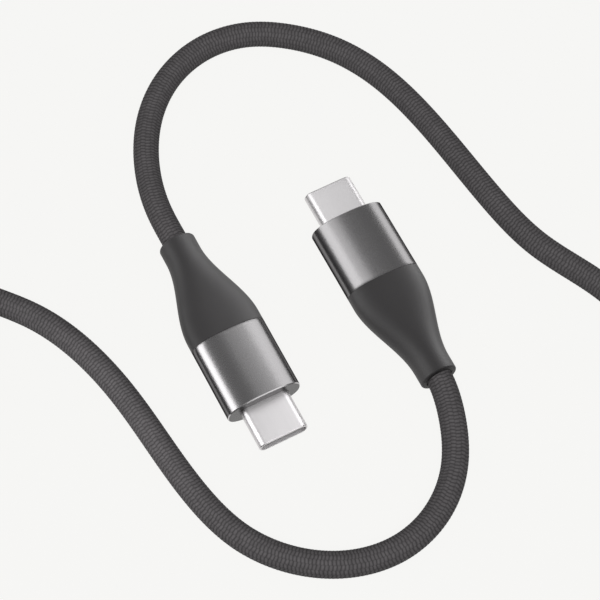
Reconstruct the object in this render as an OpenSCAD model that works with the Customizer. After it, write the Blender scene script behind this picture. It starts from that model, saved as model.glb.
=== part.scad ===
// Braided charging cable with the same flat reversible plug on both ends.
// The two plugs lie side by side, nose to tail, and the cord joins them.
// Origin: on the floor, midway between the plugs. +Y is plug B's nose, +Z is up.

/* [Shell] */
// Width of the metal shell
shell_w = 8.25; // [7.8:0.05:8.6]
// Thickness of the metal shell
shell_t = 2.4; // [2.3:0.05:2.7]
// Wall of the metal shell
shell_wall = 0.3; // [0.2:0.05:0.35]
// Length of shell in front of the sleeve
shell_out = 6.65; // [6:0.05:8]
// Length of shell held inside the sleeve
shell_seat = 4.6; // [3.5:0.1:5.5]
// Rounding of the shell's nose
nose_r = 0.25; // [0.1:0.05:0.3]

/* [Contacts] */
// Contacts in each row
contact_count = 12; // [4:1:12]
// Distance from one contact to the next
contact_pitch = 0.5; // [0.4:0.02:0.52]
// Width of one contact
contact_w = 0.22; // [0.16:0.02:0.26]
// Thickness of the contact strip
contact_t = 0.14; // [0.1:0.01:0.16]
// Height of the contacts' touching points above the middle plane
contact_touch = 0.26; // [0.2:0.02:0.32]
// Length of the contact tails on the card
contact_tail = 1.3; // [0.8:0.1:1.8]
// Wall of the insulator beside the tongue slot
slot_side = 0.4; // [0.36:0.01:0.6]
// Height of the tongue slot
slot_t = 0.9; // [0.8:0.02:1]
// Depth of the tongue slot
slot_depth = 5.4; // [4.8:0.1:6]
// Recess of the insulator behind the nose
mouth_recess = 0.6; // [0.4:0.05:0.9]

/* [Springs] */
// Thickness of the latch plate
latch_t = 0.2; // [0.14:0.02:0.26]
// Width of a latch arm
latch_arm = 0.25; // [0.18:0.01:0.28]
// Reach of a latch hook into the slot
latch_hook = 0.35; // [0.2:0.05:0.5]
// Thickness of the ground springs
spring_t = 0.12; // [0.08:0.01:0.14]
// Width of a ground spring
spring_w = 5.2; // [4.6:0.1:5.6]
// Length of a ground spring
spring_len = 1.3; // [1:0.05:1.5]
// Fingers on a ground spring
finger_count = 3; // [2:1:4]
// Width of one finger
finger_w = 0.7; // [0.4:0.05:0.9]

/* [Card and screen] */
// Gap between the paddle card and the cans at each side
card_side = 0.15; // [0.1:0.01:0.5]
// Thickness of the paddle card
card_t = 0.6; // [0.5:0.05:0.7]
// Wall of the shield cans
can_wall = 0.2; // [0.12:0.02:0.26]
// Overlap of the cans on the shell
can_lap = 1; // [0.5:0.1:1.6]
// Length of the cans behind the sleeve
can_tail = 3.2; // [2.4:0.1:3.6]
// Width of the tabs that run from the cans to the ferrule
tab_w = 1.6; // [1:0.1:2]
// Side of the marker chip
chip_side = 2; // [1.4:0.1:2.4]
// Height of the marker chip
chip_h = 0.55; // [0.4:0.05:0.7]
// Length of a capacitor
cap_len = 0.6; // [0.4:0.05:1]

/* [Sleeve] */
// Length of the metal sleeve
sleeve_len = 12.5; // [11:0.1:15]
// Width of the sleeve at its front
sleeve_w = 12.4; // [11.8:0.1:13]
// Thickness of the sleeve at its front
sleeve_t = 6.2; // [6:0.1:7]
// Wall of the sleeve
sleeve_wall = 0.8; // [0.6:0.05:0.9]
// Thickness of the sleeve's front wall
front_wall = 0.9; // [0.6:0.1:1.4]
// Bright chamfer round the sleeve's front edge
edge_bevel = 0.2; // [0.1:0.05:0.4]

/* [Boot] */
// Length of the boot behind the sleeve
boot_len = 18.4; // [17:0.1:22]
// Width where the boot meets the sleeve
joint_w = 12.4; // [11.8:0.1:13]
// Thickness where the boot meets the sleeve
joint_t = 6.2; // [5.8:0.1:6.8]
// Width of the boot at its shoulder
shoulder_w = 12.4; // [11.8:0.1:13]
// Distance of the shoulder behind the sleeve
shoulder_set = 1.8; // [1:0.1:4]
// Diameter of the collar that the cord leaves
collar_d = 6.1; // [5.6:0.1:6.6]
// Straight length of the collar
collar_len = 2.5; // [2:0.1:4.5]
// Rounding of the collar's end
collar_r = 0.35; // [0.15:0.05:0.6]
// Length of the boot's spigot inside the sleeve
spigot_len = 2.2; // [1.5:0.1:3]

/* [Cord] */
// Diameter of the cord
cord_d = 4.2; // [3.8:0.1:4.4]
// Length of cord held in the boot
cord_seat = 5.5; // [4.5:0.1:6]
// Diameter of the inner jacket
jacket_d = 3.2; // [3:0.1:3.3]
// Length of bared inner jacket
jacket_len = 6; // [5.2:0.1:6.4]
// Diameter of the wire bundle
bundle_d = 2.4; // [2.3:0.05:2.6]
// Thickness of the screen
screen_t = 0.2; // [0.12:0.02:0.24]
// Wall of the crimp ferrule
ferrule_wall = 0.3; // [0.2:0.05:0.34]
// Length of the crimp ferrule
ferrule_len = 3.4; // [2.4:0.1:3.8]
// Diameter of the supply and return wires
power_d = 0.8; // [0.6:0.05:0.85]
// Diameter of the data and control wires
signal_d = 0.56; // [0.4:0.02:0.6]

/* [Coil] */
// Radius of the coil's inner turns, to the middle of the cord
coil_r = 19; // [17:0.5:24]
// Width of the strap round the coil
tie_w = 9; // [6:0.5:14]
// Thickness of the strap
tie_t = 0.8; // [0.5:0.1:1.2]

/* [Layout] */
// Distance between the two plugs' axes
plug_gap = 25.9; // [20:0.1:34]
// Distance of each collar's end behind the middle
collar_reach = 19.8; // [17:0.1:24]

/* [Hidden] */
$fn = 48;

// Clearance between pieces that fit together
fit = 0.03;
// Small overlap of a cut past the face that it opens
cut = 0.1;
// Points round a lofted ring, in four equal quarters
ring_n = 48;
// Fullness of the oval section: 2 is an ellipse, more is squarer
oval_n = 2.5;
// Rings along the boot's curve and along its rounded end
curve_steps = 14;
round_steps = 4;

// Set-backs of the pieces inside the plug
card_set = 1;
jacket_past = 0.6;
screen_past_front = 0.3;
screen_past_back = 0.8;
wire_hold = 1;
tab_root = 1;
tab_end = 0.4;

// Stations along the plug's axis, from the collar's end (0) to the nose
shoulder_at = boot_len - shoulder_set;
sleeve_face = boot_len + sleeve_len;
nose = sleeve_face + shell_out;
shell_back = sleeve_face - shell_seat;
mouth = nose - mouth_recess;
slot_root = mouth - slot_depth;
card_front = shell_back - fit;
can_front = shell_back + can_lap;
can_back = boot_len - can_tail;
card_back = can_back + card_set;
mould_back = boot_len + spigot_len + fit;
mould_front = sleeve_face - front_wall - fit;
jacket_front = cord_seat + jacket_len;
ferrule_front = jacket_front - jacket_past;
ferrule_back = ferrule_front - ferrule_len;

// Sections of what fits inside what
bore_w = shell_w - 2 * shell_wall;
bore_t = shell_t - 2 * shell_wall;
housing_w = bore_w - 2 * fit;
housing_t = bore_t - 2 * fit;
can_inner_w = shell_w + 2 * fit;
can_inner_t = shell_t + 2 * fit;
slot_w = housing_w - 2 * slot_side;
card_w = can_inner_w - 2 * card_side;
can_w = can_inner_w + 2 * can_wall;
can_t = can_inner_t + 2 * can_wall;
ferrule_r = jacket_d / 2 + screen_t + ferrule_wall;
tab_top = ferrule_r + can_wall;
crimp_room_r = norm([tab_w / 2, tab_top]) + 2 * fit;

// Contacts: a tail on the card, a bend up to the beam, a dip to the touching point and a tip
bend_start = 0.2;
bend_end = 1;
beam_clear = 0.05;
channel_side = 0.04;
touch_set = 1.1;
touch_rise = 0.9;
tip_len = 0.6;
tail_z = (card_t + contact_t) / 2;
beam_z = slot_t / 2 + contact_t / 2 + beam_clear;
touch_z = contact_touch + contact_t / 2;
tip_z = slot_t / 2 + contact_t / 2;
channel_top = beam_z + contact_t / 2 + fit;
channel_w = contact_w + 2 * channel_side;
touch_y = mouth - spring_len - touch_set;
contact_tip = touch_y + tip_len;
contact_xs = [for (i = [0:contact_count - 1]) (i - (contact_count - 1) / 2) * contact_pitch];
contact_line = [
    [card_front - contact_tail, tail_z],
    [slot_root + bend_start, tail_z],
    [slot_root + bend_end, beam_z],
    [touch_y - touch_rise, beam_z],
    [touch_y, touch_z],
    [contact_tip, tip_z]
];

// Ground springs sit in pockets in the insulator's top and bottom, and their fingers dip into the slot
spring_set = 0.25;
spring_root = 0.2;
finger_reach = 0.08;
finger_skew = 0.1;
spring_front = mouth - spring_set;
spring_back = spring_front - spring_len;
pocket_z = housing_t / 2 - spring_t - 2 * fit;
spring_z = pocket_z + fit + spring_t / 2;
finger_step = spring_w / finger_count;
finger_xs = [for (i = [0:finger_count - 1]) (i - (finger_count - 1) / 2) * finger_step];
finger_line = [
    [spring_back, spring_z],
    [spring_back + spring_root, spring_z],
    [(spring_back + spring_front) / 2 + finger_skew, slot_t / 2 - finger_reach],
    [spring_front - spring_root, spring_z]
];

// Latch plate: cross bar behind the slot, arms beside it with hooks, legs into the card
latch_bar = 0.8;
latch_leg = 0.8;
latch_ahead = 0.3;
hook_back = 0.9;
hook_peak = 0.5;
bar_set = 0.5;
leg_in = 0.3;
latch_x = slot_w / 2;
leg_x = latch_x - leg_in;
latch_front = contact_tip + latch_ahead;
bar_front = slot_root - bar_set;
bar_back = bar_front - latch_bar;
latch_back = card_front - latch_leg;

// Wires: places in the bundle as [x, z], and solder pads on the card
wire_gap = 0.06;
power_at = [power_d / 2 + wire_gap, 0.34];
data_at = [signal_d + wire_gap, -0.55];
control_at = [0, signal_d / 2 - bundle_d / 2 + wire_gap];
power_pad_x = 2.4;
data_pad_x = 1.3;
pad_set = 0.2;
pad_len = 1.4;
pad_back = card_back + pad_set;
pad_front = pad_back + pad_len;
wire_start = jacket_front - wire_hold;
wire_sides = 8;
wire_steps = 8;

// The marker chip sits between the wire pads and the contact tails
chip_y = (pad_front + card_front - contact_tail) / 2;

// Height of the plugs' axes over the floor
axis_z = max(sleeve_t, joint_t, collar_d) / 2;
exit_x = plug_gap / 2;
exit_y = -collar_reach;

// Cord: three numbers a point, x, y and the height of its underside over the floor.
// From plug A it goes round its loop, out to the right, along the front and up to the coil.
route_a = [
    [-12.8, 26.5, 0.6], [-11.1, 34.5, 0.1], [-7, 42.5, 0], [-1.2, 48.1, 0], [6.7, 51.1, 0],
    [14, 50.5, 0], [20.9, 46.7, 0], [26.7, 40.7, 0], [30.6, 33.4, 0], [33.2, 24, 0],
    [36.1, 3.6, 0], [38.5, -6.4, 0], [42.8, -15.4, 0], [45.2, -22.5, 0], [45.2, -30, 0],
    [42.6, -37.2, 0], [36.4, -48, 0], [30.2, -57.2, 0], [24.6, -62.8, 0], [17.4, -66.1, 0],
    [9.4, -66.3, 0], [1.8, -63.7, 0], [-43, -39.8, 0], [-60, -30, 0], [-73, -19.8, 0.2],
    [-84.1, -6.8, 2.2], [-91, 6.2, 4.4]
];
// From plug B it goes round its own loop and out to the left, straight to the coil
route_b = [
    [11.6, -26.3, 0.6], [8.1, -33.4, 0.1], [2.2, -38.7, 0], [-5.3, -41, 0], [-13.2, -39.8, 0],
    [-20.2, -35.6, 0], [-25.7, -28.7, 0], [-28.6, -20.1, 0], [-31.4, 0, 0], [-33.9, 10, 0],
    [-38.3, 19, 0], [-44.2, 26.2, 0], [-50.1, 33.6, 0.4]
];
cord_sides = 12;

// Coil: two turns side by side and two on top, with a strap round them that keeps it off the floor
turn_gap = 0.1;
turn_step = cord_d + turn_gap;
coil_at = [-72, 24.1];
coil_low = tie_t + fit + cord_d / 2;
coil_high = coil_low + turn_step;
coil_outer_r = coil_r + turn_step;
coil_in_angle = 195;
coil_out_angle = 45;
tie_angle = 118;

// Ring of points, [x, z], round an oval that is w wide and t thick
function oval(w, t, n) = [
    for (i = [0:ring_n - 1])
        let (c = cos(360 * i / ring_n), s = sin(360 * i / ring_n))
            [w / 2 * sign(c) * pow(abs(c), 2 / n), t / 2 * sign(s) * pow(abs(s), 2 / n)]
];

// Ring of points round a rounded rectangle, a quarter of them on each corner
function slab(w, t, r) = [
    for (q = [0:3], i = [0:ring_n / 4 - 1])
        let (a = 90 * q + 360 * (i + 0.5) / ring_n)
            [(q == 0 || q == 3 ? 1 : -1) * (w / 2 - r) + r * cos(a),
             (q < 2 ? 1 : -1) * (t / 2 - r) + r * sin(a)]
];

// Ring of points round the room that the shield cans need
function can_room() = slab(can_w + 2 * fit, can_t + 2 * fit, can_t / 2 + fit);

// A ring of points put at one station along the axis
function at(y, ring) = [for (p = ring) [p[0], y, p[1]]];

function smooth(f) = f * f * (3 - 2 * f);
function mix(a, b, f) = a + (b - a) * f;

// Width, thickness and fullness of the boot's outside at a station
function swell(y) = smooth(min(max((y - collar_len) / (shoulder_at - collar_len), 0), 1));
function past_shoulder(y) = max((y - shoulder_at) / (boot_len - shoulder_at), 0);
function boot_ring(y) = at(y, oval(
    mix(mix(collar_d, shoulder_w, swell(y)), joint_w, past_shoulder(y)),
    mix(collar_d, joint_t, swell(y)),
    mix(2, oval_n, swell(y))));

// Width and thickness of the sleeve's outside at a station
function sleeve_f(y) = (y - boot_len) / sleeve_len;
function sleeve_ring(y, inset) = at(y, oval(
    mix(joint_w, sleeve_w, sleeve_f(y)) - 2 * inset,
    mix(joint_t, sleeve_t, sleeve_f(y)) - 2 * inset, oval_n));

// Closed solid over a loop of rings: forward over the outside, back through the inside
module ring_loop(rings) {
    m = len(rings);
    polyhedron(
        points = [for (ring = rings) each ring],
        faces = [
            for (i = [0:m - 1], j = [0:ring_n - 1])
                let (a = i * ring_n, b = ((i + 1) % m) * ring_n, k = (j + 1) % ring_n)
                    each [[a + j, a + k, b + k], [a + j, b + k, b + j]]
        ]);
}

// Direction of a path at one of its points
function heading(path, i) =
    let (d = path[min(i + 1, len(path) - 1)] - path[max(i - 1, 0)]) d / norm(d);
function path_ring(c, t, r, sides) =
    let (side = cross(t, [0, 0, 1]) / norm(cross(t, [0, 0, 1])), up = cross(side, t))
        [for (k = [0:sides - 1]) c + r * (cos(360 * k / sides) * side + sin(360 * k / sides) * up)];

// Round tube along a path
module tube(path, d, sides) {
    m = len(path);
    polyhedron(
        points = [for (i = [0:m - 1]) each path_ring(path[i], heading(path, i), d / 2, sides)],
        faces = concat(
            [[for (k = [sides - 1:-1:0]) k]],
            [[for (k = [0:sides - 1]) (m - 1) * sides + k]],
            [for (i = [0:m - 2], j = [0:sides - 1])
                let (a = i * sides, b = a + sides, k = (j + 1) % sides)
                    each [[a + j, a + k, b + k], [a + j, b + k, b + j]]]));
}

// Block between two stations, centred on the axis in x
module block(w, y0, y1, z0, z1) {
    translate([-w / 2, y0, z0]) cube([w, y1 - y0, z1 - z0]);
}

// Prism with a stadium section between two stations
module stadium_bar(w, t, y0, y1) {
    translate([0, y1, 0]) rotate([90, 0, 0]) linear_extrude(y1 - y0) union() {
        square([w - t, t], center = true);
        for (s = [-1, 1]) translate([s * (w - t) / 2, 0]) circle(d = t);
    }
}

// Strip with a side profile in y and z, w wide
module strip(profile, w) {
    rotate([90, 0, 90]) translate([0, 0, -w / 2]) linear_extrude(w) polygon(profile);
}

// Side profile of a strip that follows a line of [y, z] points at one thickness
function strip_profile(line, t) = concat(
    [for (p = line) [p[0], p[1] + t / 2]],
    [for (i = [len(line) - 1:-1:0]) [line[i][0], line[i][1] - t / 2]]);

// Round tube along the axis between two stations
module pipe(d_out, d_in, y0, y1) {
    translate([0, y1, 0]) rotate([90, 0, 0]) linear_extrude(y1 - y0) difference() {
        circle(d = d_out);
        circle(d = d_in);
    }
}

// Wall of the shell as [distance from the stadium's spine, station], with a rounded nose
module shell_wall_profile() {
    r_out = shell_t / 2;
    corner = [r_out - nose_r, nose - nose_r];
    difference() {
        translate([bore_t / 2, shell_back]) square([shell_wall, nose - shell_back]);
        difference() {
            translate(corner) square(nose_r + cut);
            translate(corner) circle(r = nose_r);
        }
    }
}

// The wall goes round the stadium in two half turns and two flats
module shell() {
    flat = shell_w - shell_t;
    color("gainsboro") for (side = [0, 180]) rotate([0, side, 0]) {
        translate([flat / 2, 0, 0]) rotate([-90, 0, 0]) rotate([0, 0, -90])
            rotate_extrude(angle = 180) shell_wall_profile();
        translate([-flat / 2, 0, 0]) rotate([90, 0, 90])
            linear_extrude(flat) rotate(90) mirror([0, 1]) shell_wall_profile();
    }
}

module contact_housing() {
    color("#1c1c1e") difference() {
        stadium_bar(housing_w, housing_t, shell_back, mouth);
        block(slot_w, slot_root, mouth + cut, -slot_t / 2, slot_t / 2);
        for (side = [0, 180]) rotate([0, side, 0]) {
            for (x = contact_xs) translate([x, 0, 0]) {
                block(channel_w, slot_root, contact_tip + 2 * contact_t, 0, channel_top);
                block(contact_w + 2 * fit, shell_back - cut, slot_root + cut,
                    tail_z - contact_t / 2 - fit, tail_z + contact_t / 2 + fit);
            }
            block(spring_w + 2 * fit, spring_back - fit, spring_front + fit, pocket_z, housing_t);
            for (x = finger_xs) translate([x, 0, 0])
                block(finger_w + 2 * fit, spring_back + cut, spring_front - cut, 0, housing_t);
        }
        translate([0, 0, -latch_t / 2 - fit]) linear_extrude(latch_t + 2 * fit) latch_outline(fit);
    }
}

module contact_row(side) {
    color("goldenrod") rotate([0, side, 0]) for (x = contact_xs)
        translate([x, 0, 0]) strip(strip_profile(contact_line, contact_t), contact_w);
}

module upper_contacts() {
    contact_row(0);
}

module lower_contacts() {
    contact_row(180);
}

// Half outline of the latch plate at +x, grown by g for its slot
function latch_half(g) = [
    [0, bar_front + g],
    [latch_x - g, bar_front + g],
    [latch_x - g, latch_front - hook_back - g],
    [latch_x - latch_hook - g, latch_front - hook_peak],
    [latch_x - g, latch_front + g],
    [latch_x + latch_arm + g, latch_front + g],
    [latch_x + latch_arm + g, bar_back - g],
    [leg_x + latch_arm + g, bar_back - g],
    [leg_x + latch_arm + g, latch_back],
    [leg_x - g, latch_back],
    [leg_x - g, bar_back - g],
    [0, bar_back - g]
];

module latch_outline(g) {
    half = latch_half(g);
    polygon(concat(half, [for (i = [len(half) - 2:-1:1]) [-half[i][0], half[i][1]]]));
}

module latch_plate() {
    color("silver") translate([0, 0, -latch_t / 2]) linear_extrude(latch_t) latch_outline(0);
}

module ground_springs() {
    low = spring_z - spring_t / 2;
    color("lightgray") for (side = [0, 180]) rotate([0, side, 0]) {
        block(spring_w, spring_back, spring_back + spring_root, low, low + spring_t);
        for (x = finger_xs) translate([x, 0, 0])
            strip(strip_profile(finger_line, spring_t), finger_w);
    }
}

module paddle_card() {
    notch = latch_arm + 2 * fit;
    color("darkgreen") difference() {
        block(card_w, card_back, card_front, -card_t / 2, card_t / 2);
        for (s = [-1, 1]) translate([s * (leg_x + latch_arm / 2), 0, 0])
            block(notch, latch_back - fit, card_front + cut, -card_t, card_t);
    }
}

// Half of a stadium tube over one side of the card and the shell's end, with a tab to the ferrule
module shield_can(side) {
    top = (can_t - can_wall) / 2;
    tab_line = [
        [can_back + tab_root, top],
        [can_back, top],
        [ferrule_front, tab_top - can_wall / 2],
        [ferrule_back + tab_end, tab_top - can_wall / 2]
    ];
    color("silver") rotate([0, side, 0]) {
        difference() {
            stadium_bar(can_w, can_t, can_back, can_front);
            stadium_bar(can_inner_w, can_inner_t, can_back - cut, can_front + cut);
            block(can_w + 2 * cut, can_back - cut, can_front + cut, -can_t, fit);
        }
        strip(strip_profile(tab_line, can_wall), tab_w);
    }
}

module upper_can() {
    shield_can(0);
}

module lower_can() {
    shield_can(180);
}

module inner_mould() {
    color("dimgray") ring_loop([
        sleeve_ring(mould_back, sleeve_wall + fit),
        sleeve_ring(mould_front, sleeve_wall + fit),
        at(mould_front, can_room()),
        at(mould_back, can_room())
    ]);
}

module sleeve() {
    aperture = slab(shell_w + 2 * fit, shell_t + 2 * fit, shell_t / 2 + fit);
    wall_back = sleeve_face - front_wall;
    color("#6e6e72") ring_loop([
        sleeve_ring(boot_len, 0),
        sleeve_ring(sleeve_face - edge_bevel, 0),
        sleeve_ring(sleeve_face, edge_bevel),
        at(sleeve_face, aperture),
        at(wall_back, aperture),
        sleeve_ring(wall_back, sleeve_wall),
        sleeve_ring(boot_len, sleeve_wall)
    ]);
}

// Ring of the collar's rounded end, from its face (0) to its side (90)
function collar_ring(a) =
    let (d = collar_d - 2 * collar_r * (1 - sin(a)))
        at(collar_r * (1 - cos(a)), oval(d, d, 2));

module boot() {
    spigot_end = boot_len + spigot_len;
    spigot_in = sleeve_wall + fit;
    bore = oval(cord_d + 2 * fit, cord_d + 2 * fit, 2);
    crimp_room = oval(2 * crimp_room_r, 2 * crimp_room_r, 2);
    color("#4a4a4c") ring_loop(concat(
        [for (i = [0:round_steps]) collar_ring(90 * i / round_steps)],
        [for (i = [0:curve_steps]) boot_ring(mix(collar_len, shoulder_at, i / curve_steps))],
        [boot_ring(boot_len)],
        [sleeve_ring(boot_len, spigot_in), sleeve_ring(spigot_end, spigot_in)],
        [at(spigot_end, can_room()), at(can_back, can_room())],
        [at(ferrule_front, crimp_room), at(cord_seat, crimp_room)],
        [at(cord_seat, bore), at(0, bore)]
    ));
}

module crimp_ferrule() {
    bore = 2 * (ferrule_r - ferrule_wall);
    color("darkgoldenrod") pipe(2 * ferrule_r, bore, ferrule_back, ferrule_front);
}

module screen_end() {
    back = ferrule_back - screen_past_back;
    color("peru") pipe(jacket_d + 2 * screen_t, jacket_d, back, ferrule_front + screen_past_front);
}

module jacket_end() {
    color("#2b2b2d") pipe(jacket_d, bundle_d, cord_seat, jacket_front);
}

// Wire from its place in the bundle to a pad on the card, side 1 on top and -1 below
module wire(from, pad_x, side, d) {
    pad_z = side * (card_t + d) / 2;
    path = [for (i = [0:wire_steps])
        let (f = i / wire_steps, g = smooth(f))
            [mix(from[0], pad_x, g), mix(wire_start, pad_back, f), mix(from[1], pad_z, g)]];
    tube(concat(path, [[pad_x, pad_front, pad_z]]), d, wire_sides);
}

module supply_wire() {
    color("firebrick") wire(power_at, power_pad_x, 1, power_d);
}

module return_wire() {
    color("#222222") wire([-power_at[0], power_at[1]], -power_pad_x, 1, power_d);
}

module data_wires() {
    color("seagreen") for (s = [-1, 1])
        wire([s * data_at[0], data_at[1]], s * data_pad_x, -1, signal_d);
}

module control_wire() {
    color("royalblue") wire(control_at, 0, -1, signal_d);
}

module marker_chip() {
    half = chip_side / 2;
    color("#26262a") block(chip_side, chip_y - half, chip_y + half, card_t / 2, card_t / 2 + chip_h);
}

module chip_capacitors() {
    half = cap_len / 2;
    color("tan") for (s = [-1, 1]) translate([s * (chip_side / 2 + cap_len), 0, 0])
        block(half, chip_y - half, chip_y + half, card_t / 2, card_t / 2 + half);
}

// Plug A is plug B turned half round about the origin
module in_plug(side) {
    rotate([0, 0, side == "a" ? 180 : 0]) translate([exit_x, exit_y, axis_z]) children();
}

// Cord path from inside a boot, out of its collar and along its route
function cord_path(sign, route, last) = concat(
    [for (y = [exit_y + cord_seat, exit_y]) [sign * exit_x, sign * y, axis_z]],
    [for (p = route) [p[0], p[1], p[2] + cord_d / 2]],
    [last]);
function on_coil(angle, z) =
    [coil_at[0] + coil_outer_r * cos(angle), coil_at[1] + coil_outer_r * sin(angle), z];

module cord_run_a() {
    path = cord_path(-1, route_a, on_coil(coil_in_angle, coil_high));
    color("#4b4b4e") tube(path, cord_d, cord_sides);
}

module cord_run_b() {
    path = cord_path(1, route_b, on_coil(coil_out_angle, coil_low));
    color("#4b4b4e") tube(path, cord_d, cord_sides);
}

// Section of the wound bundle, grown by g, as [distance from the coil's middle, height]
module bundle_section(g) {
    r = cord_d / 2 + g;
    translate([coil_r, coil_low - r]) square([turn_step, turn_step + 2 * r]);
    translate([coil_r - r, coil_low]) square([turn_step + 2 * r, turn_step]);
    for (x = [0, turn_step], z = [0, turn_step])
        translate([coil_r + x, coil_low + z]) circle(r = r);
}

module cord_coil() {
    color("#4b4b4e") translate([coil_at[0], coil_at[1], 0]) rotate_extrude() bundle_section(0);
}

// Strap once round the bundle, with its free end lapped over the top
module coil_tie() {
    turn = tie_w / (coil_r + turn_step / 2) * 180 / PI;
    lap_top = cord_d / 2 + fit + 2 * tie_t;
    color("#2f2f31") translate([coil_at[0], coil_at[1], 0]) rotate([0, 0, tie_angle - turn / 2])
        rotate_extrude(angle = turn) difference() {
            union() {
                bundle_section(fit + tie_t);
                translate([coil_r, coil_high]) square([turn_step, lap_top]);
            }
            bundle_section(fit);
        }
}

in_plug("a") shell();  // plug_a_shell
in_plug("a") contact_housing();  // plug_a_contact_housing
in_plug("a") upper_contacts();  // plug_a_upper_contacts
in_plug("a") lower_contacts();  // plug_a_lower_contacts
in_plug("a") latch_plate();  // plug_a_latch_plate
in_plug("a") ground_springs();  // plug_a_ground_springs
in_plug("a") paddle_card();  // plug_a_paddle_card
in_plug("a") upper_can();  // plug_a_upper_can
in_plug("a") lower_can();  // plug_a_lower_can
in_plug("a") inner_mould();  // plug_a_inner_mould
in_plug("a") sleeve();  // plug_a_sleeve
in_plug("a") boot();  // plug_a_boot
in_plug("a") crimp_ferrule();  // plug_a_crimp_ferrule
in_plug("a") screen_end();  // plug_a_screen_end
in_plug("a") jacket_end();  // plug_a_jacket_end
in_plug("a") supply_wire();  // plug_a_supply_wire
in_plug("a") return_wire();  // plug_a_return_wire
in_plug("a") data_wires();  // plug_a_data_wires
in_plug("a") control_wire();  // plug_a_control_wire
in_plug("a") marker_chip();  // plug_a_marker_chip
in_plug("a") chip_capacitors();  // plug_a_chip_capacitors
in_plug("b") shell();  // plug_b_shell
in_plug("b") contact_housing();  // plug_b_contact_housing
in_plug("b") upper_contacts();  // plug_b_upper_contacts
in_plug("b") lower_contacts();  // plug_b_lower_contacts
in_plug("b") latch_plate();  // plug_b_latch_plate
in_plug("b") ground_springs();  // plug_b_ground_springs
in_plug("b") paddle_card();  // plug_b_paddle_card
in_plug("b") upper_can();  // plug_b_upper_can
in_plug("b") lower_can();  // plug_b_lower_can
in_plug("b") inner_mould();  // plug_b_inner_mould
in_plug("b") sleeve();  // plug_b_sleeve
in_plug("b") boot();  // plug_b_boot
in_plug("b") crimp_ferrule();  // plug_b_crimp_ferrule
in_plug("b") screen_end();  // plug_b_screen_end
in_plug("b") jacket_end();  // plug_b_jacket_end
in_plug("b") supply_wire();  // plug_b_supply_wire
in_plug("b") return_wire();  // plug_b_return_wire
in_plug("b") data_wires();  // plug_b_data_wires
in_plug("b") control_wire();  // plug_b_control_wire
cord_run_a();
cord_run_b();
cord_coil();
coil_tie();
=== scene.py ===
import math

import bmesh
import bpy
import numpy as np
from mathutils import Matrix, Vector


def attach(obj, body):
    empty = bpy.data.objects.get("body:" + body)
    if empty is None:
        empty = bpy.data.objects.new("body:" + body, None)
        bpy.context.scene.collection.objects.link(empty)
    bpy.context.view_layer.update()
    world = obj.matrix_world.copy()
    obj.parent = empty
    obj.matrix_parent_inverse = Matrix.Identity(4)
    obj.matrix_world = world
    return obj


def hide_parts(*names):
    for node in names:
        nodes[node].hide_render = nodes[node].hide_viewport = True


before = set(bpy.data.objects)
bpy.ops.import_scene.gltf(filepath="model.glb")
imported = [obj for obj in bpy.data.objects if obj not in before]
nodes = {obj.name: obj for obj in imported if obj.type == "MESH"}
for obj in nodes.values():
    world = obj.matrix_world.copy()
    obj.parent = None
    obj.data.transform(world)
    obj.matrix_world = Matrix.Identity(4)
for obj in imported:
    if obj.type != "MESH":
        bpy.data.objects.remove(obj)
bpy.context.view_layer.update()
scene = bpy.context.scene
mm = 0.001

# both plugs have the same sizes; stations run from the collar's end (0) to the nose
plug = {
    "axisX": 12.95, "axisZ": 3.1, "collarEnd": 19.8,
    "bootLen": 18.4, "sleeveLen": 12.5, "shellOut": 6.65,
    "ovalFullness": 2.5, "ringSides": 96,
}
plug["sleeveFace"] = plug["bootLen"] + plug["sleeveLen"]
plug["nose"] = plug["sleeveFace"] + plug["shellOut"]

# meshes: merging distance in metres, the angle past which an edge stays crisp, what counts as on an axis,
# how far in the middle ring of a small broken edge lies, and the rings of a quarter round
meshSet = {"merge": 1e-7, "crisp": 35.0, "onAxis": 1e-6, "brokenMid": 0.3,
           "quarter": [math.radians(15 * step) for step in range(7)]}

# cord and rubber lean a little to rose in the photograph, the metal hardly
tints = {"soft": (1.03, 0.97, 1.0), "metal": (1.01, 0.988, 1.0)}


class Link:
    # one socket of a node tree; sums and products of links add Math nodes
    def __init__(self, tree, socket=None):
        self.tree, self.socket = tree, socket

    def make(self, kind, settings=None, inputs=None, out=0):
        node = self.tree.nodes.new(kind)
        for key, value in (settings or {}).items():
            setattr(node, key, value)
        for key, value in (inputs or {}).items():
            if isinstance(value, Link):
                self.tree.links.new(value.socket, node.inputs[key])
            else:
                node.inputs[key].default_value = value
        return Link(self.tree, node.outputs[out])

    def maths(self, operation, *values):
        return self.make("ShaderNodeMath", {"operation": operation}, dict(enumerate(values)))

    def __add__(self, other):
        return self.maths("ADD", self, other)

    __radd__ = __add__

    def __mul__(self, other):
        return self.maths("MULTIPLY", self, other)

    __rmul__ = __mul__

    def __sub__(self, other):
        return self.maths("SUBTRACT", self, other)

    def __rsub__(self, other):
        return self.maths("SUBTRACT", other, self)

    def __pow__(self, other):
        return self.maths("POWER", self, other)

    def whole(self):
        return self.maths("FLOOR", self)

    def sine(self):
        return self.maths("SINE", self)

    def between(self, low, high):
        return self.make("ShaderNodeMapRange", {}, {"Value": self, "From Min": low, "From Max": high})

    def blend(self, first, second):
        # colours mixed by this link
        return self.make("ShaderNodeMix", {"data_type": "RGBA"}, {0: self, 6: first, 7: second}, 2)


def newMaterial(name, fixed):
    # fixed holds the numbers and colours that are the same all over
    material = bpy.data.materials.new(name)
    material.use_nodes = True
    tree = material.node_tree
    shader = tree.nodes["Principled BSDF"]
    for key, value in fixed.items():
        shader.inputs[key].default_value = value
    return material, Link(tree), shader


def feed(link, node, key):
    link.tree.links.new(link.socket, node.inputs[key])


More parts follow.
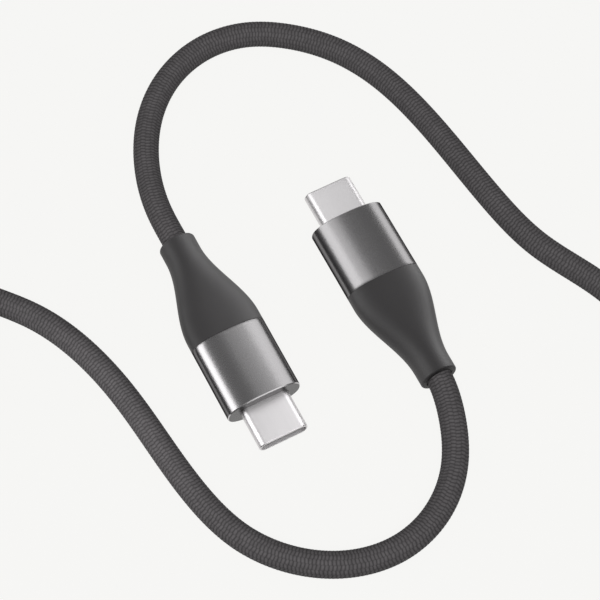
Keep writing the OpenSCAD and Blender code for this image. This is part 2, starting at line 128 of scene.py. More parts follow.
def objectPoint(start, mapping):
    point = start.make("ShaderNodeTexCoord", {}, {}, "Object")
    return start.make("ShaderNodeMapping", {}, {"Vector": point, **mapping})


def noise(start, scale, detail=2.0, stretch=(1, 1, 1)):
    point = objectPoint(start, {"Scale": stretch})
    return start.make("ShaderNodeTexNoise", {}, {"Vector": point, "Scale": scale, "Detail": detail})


def bump(link, shader, distance):
    feed(link.make("ShaderNodeBump", {}, {"Height": link, "Distance": distance}), shader, "Normal")


def plain(value, tint=(1.0, 1.0, 1.0)):
    return (*(value * part for part in tint), 1.0)


def grey(value):
    return plain(value, tints["soft"])


def steel(value):
    return plain(value, tints["metal"])


def ease(share):
    return share * share * (3 - 2 * share)


def putInScene(name, data):
    made = bpy.data.objects.new(name, data)
    scene.collection.objects.link(made)
    return made


def addObject(bm, name, materials):
    # normals outwards, smooth faces, and edges past the crisp angle kept sharp
    bmesh.ops.remove_doubles(bm, verts=bm.verts, dist=meshSet["merge"])
    bmesh.ops.recalc_face_normals(bm, faces=bm.faces)
    for face in bm.faces:
        face.smooth = True
    for edge in bm.edges:
        if len(edge.link_faces) == 2:
            edge.smooth = edge.calc_face_angle() < math.radians(meshSet["crisp"])
    mesh = bpy.data.meshes.new(name)
    bm.to_mesh(mesh)
    bm.free()
    for material in materials:
        mesh.materials.append(material)
    return putInScene(name, mesh)


def placePlug(bm, side):
    # from the plug's own stations in mm to its place in the frame
    start = (plug["axisX"] * mm, -plug["collarEnd"] * mm, plug["axisZ"] * mm)
    place = Matrix.Translation(start) @ Matrix.Scale(mm, 4)
    if side == "a":
        place = Matrix.Rotation(math.pi, 4, "Z") @ place
    bmesh.ops.transform(bm, matrix=place, verts=bm.verts)


# camera: the photograph's angle, worked out from the two plugs' shells
cameraSet = {"at": (-69.04, -131.74, 315.3), "lookAt": (0.63, 3.29, 0.0), "lens": 132.4, "sensor": 36.0,
             "clip": (0.01, 20.0)}


def makeCamera():
    data = bpy.data.cameras.new("camera")
    data.lens, data.sensor_width = cameraSet["lens"], cameraSet["sensor"]
    data.clip_start, data.clip_end = cameraSet["clip"]
    made = putInScene("camera", data)
    at, target = Vector(cameraSet["at"]) * mm, Vector(cameraSet["lookAt"]) * mm
    made.location = at
    made.rotation_euler = (target - at).to_track_quat("-Z", "Y").to_euler()
    scene.camera = made


makeCamera()
print("camera ready")

# cord: the same route as the CAD solids, x, y and the height of the underside, in mm
cord = {
    "diameter": 4.2, "seat": 5.0, "length": 918.0,
    "routeA": [
        (-12.8, 26.5, 0.6), (-11.1, 34.5, 0.1), (-7, 42.5, 0), (-1.2, 48.1, 0), (6.7, 51.1, 0),
        (14, 50.5, 0), (20.9, 46.7, 0), (26.7, 40.7, 0), (30.6, 33.4, 0), (33.2, 24, 0),
        (36.1, 3.6, 0), (38.5, -6.4, 0), (42.8, -15.4, 0), (45.2, -22.5, 0), (45.2, -30, 0),
        (42.6, -37.2, 0), (36.4, -48, 0), (30.2, -57.2, 0), (24.6, -62.8, 0), (17.4, -66.1, 0),
        (9.4, -66.3, 0), (1.8, -63.7, 0), (-43, -39.8, 0), (-60, -30, 0), (-73, -19.8, 0.2),
        (-84.1, -6.8, 2.2), (-91, 6.2, 4.4)],
    "routeB": [
        (11.6, -26.3, 0.6), (8.1, -33.4, 0.1), (2.2, -38.7, 0), (-5.3, -41, 0), (-13.2, -39.8, 0),
        (-20.2, -35.6, 0), (-25.7, -28.7, 0), (-28.6, -20.1, 0), (-31.4, 0, 0), (-33.9, 10, 0),
        (-38.3, 19, 0), (-44.2, 26.2, 0), (-50.1, 33.6, 0.4)],
    "coilAt": (-72, 24.1), "innerR": 19.0, "outerR": 23.3, "low": 2.93, "high": 7.23,
    "coilIn": 195.0, "coilStep": 15.0,
    # winding angle, radius and height where the turns change lane
    "lanes": [
        (0, "outerR", "high"), (206, "outerR", "high"), (316, "innerR", "high"), (534, "innerR", "high"),
        (644, "innerR", "low"), (862, "innerR", "low"), (972, "outerR", "low"), (1230, "outerR", "low")],
    # steps along the curve, and rows of the mesh: fine for so far from each plug, coarse between
    "lineStep": 0.05, "lineLeast": 8, "pathStep": 1.0, "slopeReach": 0.1,
    "fineStep": 0.1425, "coarseStep": 3.0, "fineA": 135.0, "fineB": 121.0, "fade": 4.0,
    # columns of stitches round the cord, and the rows in them
    "columns": 16, "columnVerts": 3, "ribPitch": 0.57, "ribLean": 0.15, "ribStep": 0.2,
    "ribEdge": 0.45, "ribDepth": 0.04,
    # slow waves in the rows of stitches: size, turns round the cord, turns per mm
    "waves": [(0.088, 2, 0.083), (0.048, -3, 0.21), (0.032, 5, 0.37)],
    # finish: dark tone (painted shade in the stitches' gaps) and light tone, roughness, gloss, and the grain
    # of threads, clumps and wear
    "tones": (0.040, 0.128), "rough": 0.78, "gloss": 0.12, "threads": 9000, "clumps": 1300, "wear": 140,
    # metres: how near the sheet's edges are sewn, and the depth of the material's bump
    "sewReach": 2e-6, "bump": 0.0001,
}


def coilPoint(theta):
    # each turn keeps its lane and crosses to the next one on a smooth ramp
    for (startAt, startR, startZ), (endAt, endR, endZ) in zip(cord["lanes"], cord["lanes"][1:]):
        if theta <= endAt:
            break
    share = ease((theta - startAt) / (endAt - startAt))
    radius = cord[startR] + (cord[endR] - cord[startR]) * share
    height = cord[startZ] + (cord[endZ] - cord[startZ]) * share
    angle = math.radians(cord["coilIn"] - theta)
    x, y = cord["coilAt"]
    return (x + radius * math.cos(angle), y + radius * math.sin(angle), height)


def cordKnots():
    half = cord["diameter"] / 2
    x, y, z = plug["axisX"], plug["collarEnd"], plug["axisZ"]
    outA = [(px, py, pz + half) for px, py, pz in cord["routeA"]]
    backB = [(px, py, pz + half) for px, py, pz in reversed(cord["routeB"])]
    windTo = cord["lanes"][-1][0] + cord["coilStep"] / 2
    turns = [coilPoint(theta) for theta in np.arange(0, windTo, cord["coilStep"])]
    seatA = [(-x, y - cord["seat"], z), (-x, y, z)]
    seatB = [(x, -y, z), (x, cord["seat"] - y, z)]
    return np.array(seatA + outA + turns + backB + seatB, float)


def smoothLine(knots):
    # one curve with even bends through the knots, by the spline's slope equations
    gap = np.linalg.norm(np.diff(knots, axis=0), axis=1)
    count = len(knots)
    left, right = np.zeros((count, count)), np.zeros((count, 3))
    left[0, 0] = left[-1, -1] = 1.0
    right[0] = (knots[1] - knots[0]) / gap[0]
    right[-1] = (knots[-1] - knots[-2]) / gap[-1]
    for i in range(1, count - 1):
        a, b = gap[i - 1], gap[i]
        left[i, i - 1:i + 2] = b, 2 * (a + b), a
        right[i] = 3 * (b * (knots[i] - knots[i - 1]) / a + a * (knots[i + 1] - knots[i]) / b)
    slope = np.linalg.solve(left, right)
    line = [knots[:1]]
    for i in range(count - 1):
        steps = max(cord["lineLeast"], int(gap[i] / cord["lineStep"]))
        t = (np.arange(1, steps + 1) / steps)[:, None]
        line.append((2 * t**3 - 3 * t**2 + 1) * knots[i] + (t**3 - 2 * t**2 + t) * gap[i] * slope[i]
                    + (3 * t**2 - 2 * t**3) * knots[i + 1] + (t**3 - t**2) * gap[i] * slope[i + 1])
    line = np.concatenate(line)
    line[:, 2] = np.maximum(line[:, 2], cord["diameter"] / 2)
    return line


def ribHeight(column, along, floor, sine):
    # rows of short stitches, which lean the other way and lie a small step on in the next column;
    # takes arrays with numpy's floor and sine, or links with their own
    odd = floor(column) - 2 * floor(column * 0.5)
    x = column - floor(column)
    lean = (odd * 2 - 1) * (x - 0.5) * cord["ribLean"]
    phase = along * (1 / cord["ribPitch"]) + lean + odd * cord["ribStep"]
    for size, turns, rate in cord["waves"]:
        angle = along * (2 * math.pi * rate) + column * (2 * math.pi * turns / cord["columns"])
        phase = phase + sine(angle) * size
    phase = phase - floor(phase)
    return (1 - (phase * 2 - 1) ** 2) * (1 - (x * 2 - 1) ** 4 * cord["ribEdge"])


def cordStations(total):
    fineFrom = total - cord["fineB"]
    coarseCount = int((fineFrom - cord["fineA"]) / cord["coarseStep"])
    return np.concatenate([
        np.arange(0, cord["fineA"], cord["fineStep"]),
        np.linspace(cord["fineA"], fineFrom, coarseCount, endpoint=False),
        np.arange(fineFrom, total, cord["fineStep"]), [total]])


def alongLine(line, run, at):
    return np.stack([np.interp(at, run, line[:, k]) for k in range(3)], 1)


def unit(arrows):
    return arrows / np.linalg.norm(arrows, axis=1)[:, None]


def flatSheet(sides, rows):
    # a flat grid with its own UV map, and for each vertex its place round the cord and its row along it
    bm = bmesh.new()
    bm.loops.layers.uv.new("UVMap")
    bmesh.ops.create_grid(bm, x_segments=sides, y_segments=rows, size=1.0, calc_uvs=True)
    mesh = bpy.data.meshes.new("cord")
    bm.to_mesh(mesh)
    bm.free()
    flat = np.zeros(len(mesh.vertices) * 3)
    mesh.vertices.foreach_get("co", flat)
    flat = (flat.reshape(-1, 3) + 1) / 2
    return mesh, np.rint(flat[:, 0] * sides).astype(int), np.rint(flat[:, 1] * rows).astype(int)


def sewCord(mesh):
    # the rolled sheet's edges are joined and its two ends closed
    bm = bmesh.new()
    bm.from_mesh(mesh)
    bmesh.ops.remove_doubles(bm, verts=bm.verts, dist=cord["sewReach"])
    ends = [edge for edge in bm.edges if len(edge.link_faces) == 1]
    bmesh.ops.holes_fill(bm, edges=ends, sides=0)
    bmesh.ops.recalc_face_normals(bm, faces=bm.faces)
    for face in bm.faces:
        face.smooth = True
    bm.to_mesh(mesh)
    bm.free()


def makeCord(material):
    line = smoothLine(cordKnots())
    run = np.concatenate([[0], np.cumsum(np.linalg.norm(np.diff(line, axis=0), axis=1))])
    total = run[-1]
    stations = cordStations(total)
    centre = alongLine(line, run, stations)
    reach = cord["slopeReach"]
    ahead = unit(alongLine(line, run, stations + reach) - alongLine(line, run, stations - reach))
    side = unit(np.cross(ahead, (0, 0, 1)))
    up = np.cross(side, ahead)
    # a flat sheet is rolled round the route, with its stitches raised except on the coarse stretch
    sides = cord["columns"] * cord["columnVerts"]
    mesh, around, row = flatSheet(sides, len(stations) - 1)
    inside = np.minimum(stations - cord["fineA"], total - cord["fineB"] - stations)
    coarse = np.clip((inside + cord["fade"]) / cord["fade"], 0, 1)[row]
    ribs = ribHeight(around / cord["columnVerts"] % cord["columns"], stations[row], np.floor, np.sin)
    radius = cord["diameter"] / 2 - cord["ribDepth"] * (1 - ribs) * (1 - coarse)
    angle = around / sides * 2 * math.pi
    outwards = np.cos(angle)[:, None] * side[row] + np.sin(angle)[:, None] * up[row]
    rolled = (centre[row] + radius[:, None] * outwards) * mm
    mesh.vertices.foreach_set("co", rolled.astype(np.float32).ravel())
    # UV: columns of the braid across, millimetres along
    loops = np.zeros(len(mesh.loops), np.int32)
    mesh.loops.foreach_get("vertex_index", loops)
    uv = np.stack([around / cord["columnVerts"], stations[row]], 1)[loops]
    mesh.uv_layers[0].data.foreach_set("uv", uv.astype(np.float32).ravel())
    plainStretch = mesh.attributes.new("plainStretch", "FLOAT", "POINT")
    plainStretch.data.foreach_set("value", coarse.astype(np.float32))
    sewCord(mesh)
    mesh.materials.append(material)
    made = putInScene("braided_cord", mesh)
    step = round(cord["pathStep"] / cord["lineStep"])
    path = np.concatenate([line[::step], line[-1:]]) * mm
    print("cord length mm", round(float(total), 1), "faces", len(mesh.polygons))
    return made, path


def braidMaterial():
    material, start, shader = newMaterial("graphite_braid", {"Specular IOR Level": cord["gloss"]})
    uv = start.make("ShaderNodeUVMap", {"uv_map": "UVMap"})
    across = start.make("ShaderNodeSeparateXYZ", {}, {0: uv}, "X")
    along = start.make("ShaderNodeSeparateXYZ", {}, {0: uv}, "Y")
    ribs = ribHeight(across, along, Link.whole, Link.sine)
    threads = noise(start, cord["threads"])
    clumps = noise(start, cord["clumps"], detail=1.0)
    wear = noise(start, cord["wear"])
    # the tone follows the stitches' height: the braid's pattern, with painted shade in the gaps between
    # stitches
    tone = (ribs * (0.4 + clumps * 0.9) + threads * 0.2 + wear * 0.2 - 0.15).between(0.0, 1.0)
    feed(tone.blend(*map(grey, cord["tones"])), shader, "Base Color")
    plainStretch = start.make("ShaderNodeAttribute", {"attribute_name": "plainStretch"}, {}, "Fac")
    bump(ribs * plainStretch + threads * 0.25, shader, cord["bump"])
    feed(cord["rough"] - ribs * 0.14, shader, "Roughness")
    return material


cordPiece, cordPath = makeCord(braidMaterial())
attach(cordPiece, "root")
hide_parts("cord_run_a", "cord_run_b", "cord_coil")
print("cord ready")


def oval(width, height, station, fullness):
    # ring shape: angle in, point of the plug out
    def shape(angle):
        c, s = math.cos(angle), math.sin(angle)
        return (math.copysign(width / 2 * abs(c) ** (2 / fullness), c), station,
                math.copysign(height / 2 * abs(s) ** (2 / fullness), s))
    return shape


def roundRing(across, station):
    return oval(across, across, station, 2)


def apart(value, straight, radius):
    # a round's coordinate, with its two halves moved apart by a straight stretch
    return 0.0 if abs(value) < meshSet["onAxis"] else math.copysign(straight, value) + radius * value


def stadium(width, height, station):
    def shape(angle):
        x = apart(math.cos(angle), (width - height) / 2, height / 2)
        return (x, station, height / 2 * math.sin(angle))
    return shape


def loft(shapes, sides, marks=None):
    # a ring of edges is extruded from shape to shape, then its last ring is bridged to its first
    bm = bmesh.new()
    turn = bm.verts.layers.float.new("turn")
    for vert in bmesh.ops.create_circle(bm, cap_ends=False, radius=1.0, segments=sides)["verts"]:
        vert[turn] = math.atan2(vert.co.y, vert.co.x)
        vert.co = shapes[0](vert[turn])
    edges = firstEdges = list(bm.edges)
    for number, shape in enumerate(shapes[1:]):
        made = bmesh.ops.extrude_edge_only(bm, edges=edges)["geom"]
        fresh = {item for item in made if isinstance(item, bmesh.types.BMVert)}
        for vert in fresh:
            vert.co = shape(vert[turn])
        for item in made:
            if isinstance(item, bmesh.types.BMFace):
                item.material_index = (marks or {}).get(number, 0)
        edges = [item for item in made if isinstance(item, bmesh.types.BMEdge)
                 and item.verts[0] in fresh and item.verts[1] in fresh]
    bmesh.ops.bridge_loops(bm, edges=firstEdges + edges)
    return bm


# metal sleeve: an oval tube with a front wall and a bright cut edge
sleeve = {
    "w": 12.4, "t": 6.2, "wall": 0.8, "frontWall": 0.9, "cutEdge": 0.14, "seam": 0.04,
    "holeW": 8.31, "holeT": 2.46, "holeEdge": 0.06, "rings": (0.05, 0.35, 0.65, 0.95),
    "tones": (0.225, 0.255), "faceTones": (0.10, 0.13), "rough": 0.22, "blast": 14000, "drawn": 900,
    "cutTones": (0.50, 0.60), "cutRough": 0.2, "cutLines": 5000, "bump": 0.000004,
}


def sleeveOval(inset, station):
    return oval(sleeve["w"] - 2 * inset, sleeve["t"] - 2 * inset, station, plug["ovalFullness"])


def makeSleeve(side, materials):
    back, face = plug["bootLen"], plug["sleeveFace"]
    behind = face - sleeve["frontWall"]
    seam, cut, wall = sleeve["seam"], sleeve["cutEdge"], sleeve["wall"]
    holeW, holeT, holeEdge = sleeve["holeW"], sleeve["holeT"], sleeve["holeEdge"]
    seamMid = meshSet["brokenMid"] * seam
    shapes = [sleeveOval(wall, back), sleeveOval(seam, back), sleeveOval(seamMid, back + seamMid),
              sleeveOval(0, back + seam)]
    shapes += [sleeveOval(0, back + share * plug["sleeveLen"]) for share in sleeve["rings"]]
    shapes += [sleeveOval(0, face - cut), sleeveOval(cut, face)]
    cutFace = len(shapes) - 2
    shapes += [stadium(holeW + holeEdge, holeT + holeEdge, face), stadium(holeW, holeT, face - holeEdge),
               stadium(holeW, holeT, behind), sleeveOval(wall, behind)]
    bm = loft(shapes, plug["ringSides"], {cutFace: 1, cutFace + 1: 2})
    placePlug(bm, side)
    made = addObject(bm, f"plug_{side}_sleeve_skin", materials)
    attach(made, "root")
    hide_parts(f"plug_{side}_sleeve")


def sleeveMaterial(name, tones, rim):
    material, start, shader = newMaterial(name, {"Metallic": 1.0, "Specular Tint": plain(rim)})
    blasted = noise(start, sleeve["blast"], detail=3.0)
    drawn = noise(start, sleeve["drawn"], stretch=(1, 0.05, 1))
    tone = (blasted * 0.5 + drawn * 0.3).between(0.2, 0.6)
    feed(tone.blend(*map(steel, tones)), shader, "Base Color")
    feed(sleeve["rough"] + blasted * 0.08 + drawn * 0.02, shader, "Roughness")
    bump(blasted, shader, sleeve["bump"])
    return material


def cutEdgeMaterial():
    material, start, shader = newMaterial("bright_cut_metal", {"Metallic": 1.0})
    lines = noise(start, sleeve["cutLines"], stretch=(1, 0.2, 1))
    feed(lines.blend(*map(steel, sleeve["cutTones"])), shader, "Base Color")
    feed(sleeve["cutRough"] + lines * 0.1, shader, "Roughness")
    return material


# soft boot: round collar that swells to the sleeve's oval
boot = {
    "collarD": 6.1, "collarLen": 2.5, "collarRound": 0.35, "shoulderW": 12.4, "shoulderAt": 16.6,
    "boreD": 4.26, "boreDeep": 5.4, "boreEdge": 0.1, "curveRings": 40,
    "tones": (0.030, 0.042), "rough": 0.50, "gloss": 0.4, "grain": 11000, "cloud": 160, "bump": 0.00001,
}


def bootOval(station, inset=0.0):
    swell = (station - boot["collarLen"]) / (boot["shoulderAt"] - boot["collarLen"])
    share = ease(min(max(swell, 0), 1))
    past = max((station - boot["shoulderAt"]) / (plug["bootLen"] - boot["shoulderAt"]), 0)
    width = boot["collarD"] + (boot["shoulderW"] - boot["collarD"]) * share
    width += (sleeve["w"] - width) * past
    height = boot["collarD"] + (sleeve["t"] - boot["collarD"]) * share
    return oval(width - 2 * inset, height - 2 * inset, station, 2 + (plug["ovalFullness"] - 2) * share)


def makeBoot(side, materials):
    back, seam, edge = plug["bootLen"], sleeve["seam"], boot["collarRound"]
    bore, boreEdge = boot["boreD"], boot["boreEdge"]
    shapes = [roundRing(bore, boot["boreDeep"]), roundRing(bore, boreEdge),
              roundRing(bore + 2 * boreEdge, 0)]
    shapes += [roundRing(boot["collarD"] - 2 * edge * (1 - math.sin(angle)), edge * (1 - math.cos(angle)))
               for angle in meshSet["quarter"]]
    count = boot["curveRings"]
    shapes += [bootOval(edge + (back - seam - edge) * (i + 1) / count) for i in range(count)]
    shapes += [bootOval(back, seam), bootOval(back, sleeve["wall"])]
    bm = loft(shapes, plug["ringSides"])
    placePlug(bm, side)
    made = addObject(bm, f"plug_{side}_boot_skin", materials)
    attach(made, "root")
    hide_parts(f"plug_{side}_boot")


def bootMaterial():
    material, start, shader = newMaterial("soft_matt_rubber", {"Specular IOR Level": boot["gloss"]})
    grain = noise(start, boot["grain"], detail=3.0)
    cloud = noise(start, boot["cloud"])
    feed((grain * 0.5 + cloud * 0.5).blend(*map(grey, boot["tones"])), shader, "Base Color")
    feed(boot["rough"] + grain * 0.10, shader, "Roughness")
    bump(grain, shader, boot["bump"])
    return material


# nickel shell: drawn stadium tube with a rolled nose and a dull inside, painted lighter than the nickel as
# painted light in the mouth's shade
shell = {
    "w": 8.25, "t": 2.4, "wall": 0.3, "seat": 4.6, "noseRound": 0.25, "lip": 0.04, "dull": 0.6, "sides": 192,
    "rings": (0.3, 0.6, 0.9), "insideRings": (0.5, 1.0),
    "tones": (0.72, 0.80), "rough": 0.40, "drawn": 1400, "cloud": 220,
    "insidePaintedLightTones": (0.80, 0.90), "insideRough": 0.55, "insideMetal": 0.3, "insideCloud": 2500,
}


def makeShell(side, materials):
    w, t, edge, lip = shell["w"], shell["t"], shell["noseRound"], shell["lip"]
    innerW, innerT = w - 2 * shell["wall"], t - 2 * shell["wall"]
    back, nose = plug["sleeveFace"] - shell["seat"], plug["nose"]
    shapes = [stadium(innerW, innerT, back), stadium(w, t, back)]
    shapes += [stadium(w, t, back + (nose - edge - back) * share) for share in shell["rings"]]
    for angle in meshSet["quarter"]:
        inset = edge * (1 - math.cos(angle))
        shapes.append(stadium(w - 2 * inset, t - 2 * inset, nose - edge + edge * math.sin(angle)))
    shapes += [stadium(innerW + 2 * lip, innerT + 2 * lip, nose), stadium(innerW, innerT, nose - lip)]
    inside = len(shapes) - 1
    shapes += [stadium(innerW, innerT, nose - shell["dull"] * share) for share in shell["insideRings"]]
    bm = loft(shapes, shell["sides"], {inside: 1, inside + 1: 1})
    placePlug(bm, side)
    made = addObject(bm, f"plug_{side}_shell_skin", materials)
    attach(made, "root")
    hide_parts(f"plug_{side}_shell")


def shellMaterial():
    material, start, shader = newMaterial("nickel_plate", {"Metallic": 1.0})
    drawn = noise(start, shell["drawn"], stretch=(1, 0.06, 1))
    cloud = noise(start, shell["cloud"])
    feed((drawn * 0.6 + cloud * 0.4).blend(*map(steel, shell["tones"])), shader, "Base Color")
    feed(shell["rough"] + drawn * 0.08 + cloud * 0.05, shader, "Roughness")
    return material


def mouthPaintedLightMaterial():
    material, start, shader = newMaterial("dull_shell_inside_painted_light", {"Metallic": shell["insideMetal"]})
    cloud = noise(start, shell["insideCloud"], detail=3.0)
    # painted light: the inside is lighter than the outer nickel, standing in for light the deep mouth does
    # not get
    feed(cloud.blend(*map(steel, shell["insidePaintedLightTones"])), shader, "Base Color")
    feed(shell["insideRough"] + cloud * 0.15, shader, "Roughness")
    return material


bootMaterials = [bootMaterial()]
sleeveMaterials = [sleeveMaterial("satin_anodised_metal", sleeve["tones"], 0.0), cutEdgeMaterial(),
                   sleeveMaterial("faced_metal", sleeve["faceTones"], 1.0)]
shellMaterials = [shellMaterial(), mouthPaintedLightMaterial()]
for side in "ab":
    makeBoot(side, bootMaterials)
    makeSleeve(side, sleeveMaterials)
    makeShell(side, shellMaterials)
print("plugs ready")

# strap round the coil, with its free end lapped over the top
strap = {
    "angle": 118.0, "width": 9.0, "thick": 0.8, "gap": 0.03, "edge": 0.22, "arcSteps": 12, "sides": 48,
    "padRound": 0.25, "padSteps": 3, "padShare": 0.98,
    "tones": (0.012, 0.05), "rough": 0.85, "rows": 700.0, "rowWaver": 0.4, "threads": 5000, "bump": 0.00008,
}


def makeStrap(materials):
    half = (cord["outerR"] - cord["innerR"]) / 2
    midR, midZ = cord["innerR"] + half, cord["low"] + half
    reach = math.degrees(strap["width"] / midR)
    inner = cord["diameter"] / 2 + strap["gap"]
    outer = inner + strap["thick"]

    def bent(x, share, z):
        # x goes outwards from the middle of the turns, share along the strap's width from its middle
        place = math.radians(strap["angle"] + reach * share)
        coilX, coilY = cord["coilAt"]
        return (coilX + (midR + x) * math.cos(place), coilY + (midR + x) * math.sin(place), midZ + z)

    def ring(radius, share):
        def shape(angle):
            x, z = (apart(value, half, radius) for value in (math.cos(angle), math.sin(angle)))
            return bent(x, share - 0.5, z)
        return shape

    rim, share, steps = strap["edge"], strap["edge"] / strap["width"], strap["arcSteps"]
    rimMid, shareMid = meshSet["brokenMid"] * rim, meshSet["brokenMid"] * share
    shapes = [ring(inner, 0), ring(outer - rim, 0), ring(outer - rimMid, shareMid), ring(outer, share)]
    shapes += [ring(outer, share + (1 - 2 * share) * (i + 1) / steps) for i in range(steps)]
    shapes += [ring(outer - rimMid, 1 - shareMid), ring(outer - rim, 1), ring(inner, 1)]
    shapes += [ring(inner, 1 - (i + 1) / steps) for i in range(steps - 1)]
    bm = loft(shapes, strap["sides"])
    # the lapped end: a flat pad bent to the same arc
    pad = bmesh.ops.create_cube(bm, size=1.0)["verts"]
    bmesh.ops.scale(bm, vec=(2 * half, 1.0, strap["thick"]), verts=pad)
    padEdges = [edge for edge in bm.edges if edge.verts[0] in pad and edge.verts[1] in pad]
    bevelled = bmesh.ops.bevel(bm, geom=padEdges, offset=strap["padRound"], offset_type="OFFSET",
                               affect="EDGES", segments=strap["padSteps"], profile=0.5, material=-1)
    lift = half + outer + strap["thick"] / 2
    for vert in {vert for face in bevelled["faces"] for vert in face.verts}:
        vert.co = bent(vert.co.x, strap["padShare"] * vert.co.y, lift + vert.co.z)
    bmesh.ops.scale(bm, vec=(mm, mm, mm), verts=bm.verts)
    made = addObject(bm, "coil_strap", materials)
    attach(made, "root")
    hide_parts("coil_tie")
    return made


def strapMaterial():
    material, start, shader = newMaterial("woven_strap", {"Roughness": strap["rough"]})
    turned = objectPoint(start, {"Rotation": (0, 0, math.radians(-strap["angle"]))})
    rows = start.make("ShaderNodeTexWave", {"wave_type": "BANDS", "bands_direction": "Y"},
                      {"Vector": turned, "Scale": strap["rows"], "Distortion": strap["rowWaver"]}, "Fac")
    threads = noise(start, strap["threads"])
    feed((rows * 0.6 + threads * 0.4).blend(*map(grey, strap["tones"])), shader, "Base Color")
    bump(rows * 0.7 + threads * 0.3, shader, strap["bump"])
    return material


strapPiece = makeStrap([strapMaterial()])
print("strap ready")

# inner pieces: dark and light tone, grain size, roughness, how metallic, and the pieces that have it
innerFinish = {
    "black_insulator": ((0.012, 0.012, 0.013), (0.022, 0.022, 0.024), 6000, 0.45, 0.0, ["contact_housing"]),
    "gold_plate": ((0.75, 0.53, 0.20), (0.88, 0.66, 0.30), 4000, 0.25, 1.0,
                   ["upper_contacts", "lower_contacts"]),
    "spring_steel": ((0.50, 0.50, 0.51), (0.62, 0.62, 0.63), 5000, 0.3, 1.0,
                     ["latch_plate", "ground_springs"]),
    "green_card": ((0.015, 0.10, 0.04), (0.03, 0.15, 0.06), 1500, 0.4, 0.0, ["paddle_card"]),
    "can_sheet": ((0.52, 0.53, 0.54), (0.64, 0.65, 0.66), 2500, 0.35, 1.0, ["upper_can", "lower_can"]),
    "grey_mould": ((0.10, 0.10, 0.105), (0.14, 0.14, 0.145), 3000, 0.6, 0.0, ["inner_mould"]),
    "brass_ferrule": ((0.62, 0.45, 0.20), (0.76, 0.58, 0.30), 3000, 0.35, 1.0, ["crimp_ferrule"]),
    "copper_screen": ((0.50, 0.26, 0.15), (0.80, 0.47, 0.30), 7000, 0.4, 1.0, ["screen_end"]),
    "black_jacket": ((0.02, 0.02, 0.021), (0.035, 0.035, 0.036), 4000, 0.6, 0.0, ["jacket_end"]),
    "red_wire": ((0.45, 0.03, 0.025), (0.6, 0.06, 0.05), 4000, 0.45, 0.0, ["supply_wire"]),
    "black_wire": ((0.015, 0.015, 0.015), (0.03, 0.03, 0.03), 4000, 0.45, 0.0, ["return_wire"]),
    "green_wire": ((0.04, 0.28, 0.09), (0.07, 0.4, 0.15), 4000, 0.45, 0.0, ["data_wires"]),
    "blue_wire": ((0.03, 0.10, 0.4), (0.06, 0.18, 0.55), 4000, 0.45, 0.0, ["control_wire"]),
    "chip_case": ((0.014, 0.014, 0.016), (0.026, 0.026, 0.03), 5000, 0.55, 0.0, ["marker_chip"]),
    "tan_ceramic": ((0.42, 0.33, 0.22), (0.55, 0.45, 0.32), 5000, 0.5, 0.0, ["chip_capacitors"]),
}
# how far their grain moves the roughness, how far that begins below it, and the depth of the bump in metres
innerGrain = {"spread": 0.15, "below": 0.07, "bump": 0.00001}


def innerMaterial(name, dark, light, scale, rough, metal):
    material, start, shader = newMaterial(name, {"Metallic": metal})
    grain = noise(start, scale, detail=3.0)
    feed(grain.blend((*dark, 1.0), (*light, 1.0)), shader, "Base Color")
    feed(grain * innerGrain["spread"] + (rough - innerGrain["below"]), shader, "Roughness")
    bump(grain, shader, innerGrain["bump"])
    return material


for name, (*finish, kinds) in innerFinish.items():
    material = innerMaterial(name, *finish)
    for node in [nodes.get(f"plug_{side}_{kind}") for kind in kinds for side in "ab"]:
        if node:  # the chip and its capacitors are in plug A only
            node.data.materials.clear()
            node.data.materials.append(material)
print("inner pieces ready")

# lamps: the pieces each one lights, its tilt to the right and half width in degrees, and its brightness;
# its lean to the rear, distance in metres, spread and target in mm are the usual ones unless given;
# the photograph lights the two plugs from opposite sides
metalA, metalB = ("plug_a_sleeve", "plug_a_shell"), ("plug_b_sleeve", "plug_b_shell")
lampUsual = {"lean": 0.386, "away": 0.9, "spread": 180.0, "target": (0.0, 0.0)}
lamps = {
    "softboxA": {"lights": metalA, "tilt": 52.0, "half": 21.0, "glow": 2.2},
    "fillA": {"lights": ("plug_a",), "tilt": 20.0, "half": 11.0, "glow": 0.88},
    "stripA": {"lights": metalA, "tilt": -55.0, "half": 15.0, "glow": 4.8},
    "faceA": {"lights": metalA, "tilt": 12.5, "half": 15.0, "glow": 1.7, "lean": -0.386},
    "edgeA": {"lights": (*metalA, "plug_a_contact"), "tilt": 28.0, "half": 18.0, "glow": 1.25,
              "lean": -0.82},
    "bootRightA": {"lights": ("plug_a_boot",), "tilt": 58.0, "half": 27.0, "glow": 5.4},
    "bootLeftA": {"lights": ("plug_a_boot",), "tilt": -70.0, "half": 15.0, "glow": 5.0},
    "softboxB": {"lights": metalB, "tilt": -32.0, "half": 15.0, "glow": 2.55},
    "fillB": {"lights": metalB, "tilt": -6.0, "half": 11.0, "glow": 1.4},
    "stripB": {"lights": metalB, "tilt": 80.0, "half": 24.0, "glow": 2.2},
    "bootLeftB": {"lights": ("plug_b_boot",), "tilt": -58.0, "half": 24.0, "glow": 4.2},
    "shellB": {"lights": ("plug_b_shell",), "tilt": 24.0, "half": 12.0, "glow": 0.35},
    "bootRightB": {"lights": ("plug_b_boot",), "tilt": 80.0, "half": 22.0, "glow": 8.4},
    "overhead": {"lights": ("braided_cord", "coil", "floor"), "tilt": -12.5, "half": 13.0, "glow": 6.3,
                 "lean": -0.38},
    "cordLeft": {"lights": ("braided_cord",), "tilt": -46.0, "half": 14.0, "glow": 0.75,
                 "lean": -0.25, "away": 0.06, "spread": 70.0, "target": (-31.0, 0.0)},
}
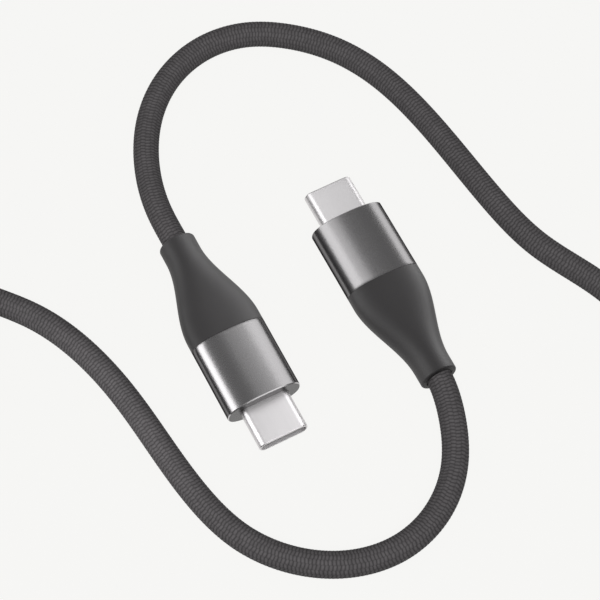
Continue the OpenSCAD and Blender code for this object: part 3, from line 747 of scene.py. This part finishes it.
# studio: the lamps' half width along the plugs in degrees, the floor, and the world's light from each side
studio = {
    "leanHalf": 18.0,
    "floorSize": 6.0, "floorTone": 0.3, "floorRough": 0.9,
    "floorGlow": (1.0, 0.998, 0.982), "glowShare": 0.9,
    "front": 0.36, "rear": 0.34, "below": 0.02, "turnFade": (-0.3, 0.3), "riseFade": (0.05, 0.75),
}


def makeLamp(name, lamp, pieces):
    tilt = math.radians(lamp["tilt"])
    flat = math.sqrt(1 - lamp["lean"] ** 2)
    aim = Vector((math.sin(tilt) * flat, lamp["lean"], math.cos(tilt) * flat))
    across = Vector((math.cos(tilt), 0, -math.sin(tilt)))
    along = aim.cross(across)
    data = bpy.data.lights.new(name, "AREA")
    data.shape = "RECTANGLE"
    data.size = 2 * lamp["away"] * math.tan(math.radians(lamp["half"]))
    data.size_y = 2 * lamp["away"] * math.tan(math.radians(studio["leanHalf"]))
    data.energy = lamp["glow"] * math.pi * data.size * data.size_y
    data.spread = math.radians(lamp["spread"])
    made = putInScene(name, data)
    turned = Matrix((across, along, aim)).transposed().to_4x4()
    target = Vector((*lamp["target"], 0)) * mm
    made.matrix_world = Matrix.Translation(target + aim * lamp["away"]) @ turned
    made.visible_camera = False
    lit = bpy.data.collections.new(name + "Lit")
    for piece in pieces:
        if piece.name.startswith(lamp["lights"]):
            lit.objects.link(piece)
    made.light_linking.receiver_collection = lit


def makeFloor():
    bm = bmesh.new()
    bmesh.ops.create_grid(bm, x_segments=1, y_segments=1, size=studio["floorSize"] / 2)
    fixed = {"Base Color": plain(studio["floorTone"]), "Roughness": studio["floorRough"],
             "Specular IOR Level": 0.0}
    material, start, shader = newMaterial("pale_floor", fixed)
    # part of the floor's tone is its own, so that the shadows on it stay faint
    seen = start.make("ShaderNodeLightPath", {}, {}, "Is Camera Ray")
    seen = seen + start.make("ShaderNodeLightPath", {}, {}, "Is Glossy Ray")
    seen = seen + start.make("ShaderNodeLightPath", {}, {}, "Is Transmission Ray")
    share = seen.between(0.0, 1.0) * studio["glowShare"]
    lit = Link(start.tree, shader.outputs[0])
    glow = start.make("ShaderNodeEmission", {}, {"Color": (*studio["floorGlow"], 1.0)})
    both = start.make("ShaderNodeMixShader", {}, {0: share, 1: lit, 2: glow})
    feed(both, start.tree.nodes["Material Output"], "Surface")
    floor = addObject(bm, "floor", [material])


def makeWorld():
    world = bpy.data.worlds.new("studio")
    scene.world = world
    world.use_nodes = True
    start = Link(world.node_tree)
    point = start.make("ShaderNodeTexCoord", {}, {}, "Generated")
    ahead = start.make("ShaderNodeSeparateXYZ", {}, {0: point}, "Y")
    height = start.make("ShaderNodeSeparateXYZ", {}, {0: point}, "Z")
    sky = ahead.between(*studio["turnFade"]).blend(plain(studio["front"]), plain(studio["rear"]))
    air = height.between(*studio["riseFade"]).blend(plain(studio["below"]), sky)
    feed(air, world.node_tree.nodes["Background"], "Color")


makeFloor()
makeWorld()
meshPieces = [piece for piece in scene.objects if piece.type == "MESH"]
for name, lamp in lamps.items():
    makeLamp(name, {**lampUsual, **lamp}, meshPieces)
scene.view_settings.view_transform = "Standard"
print("studio ready")
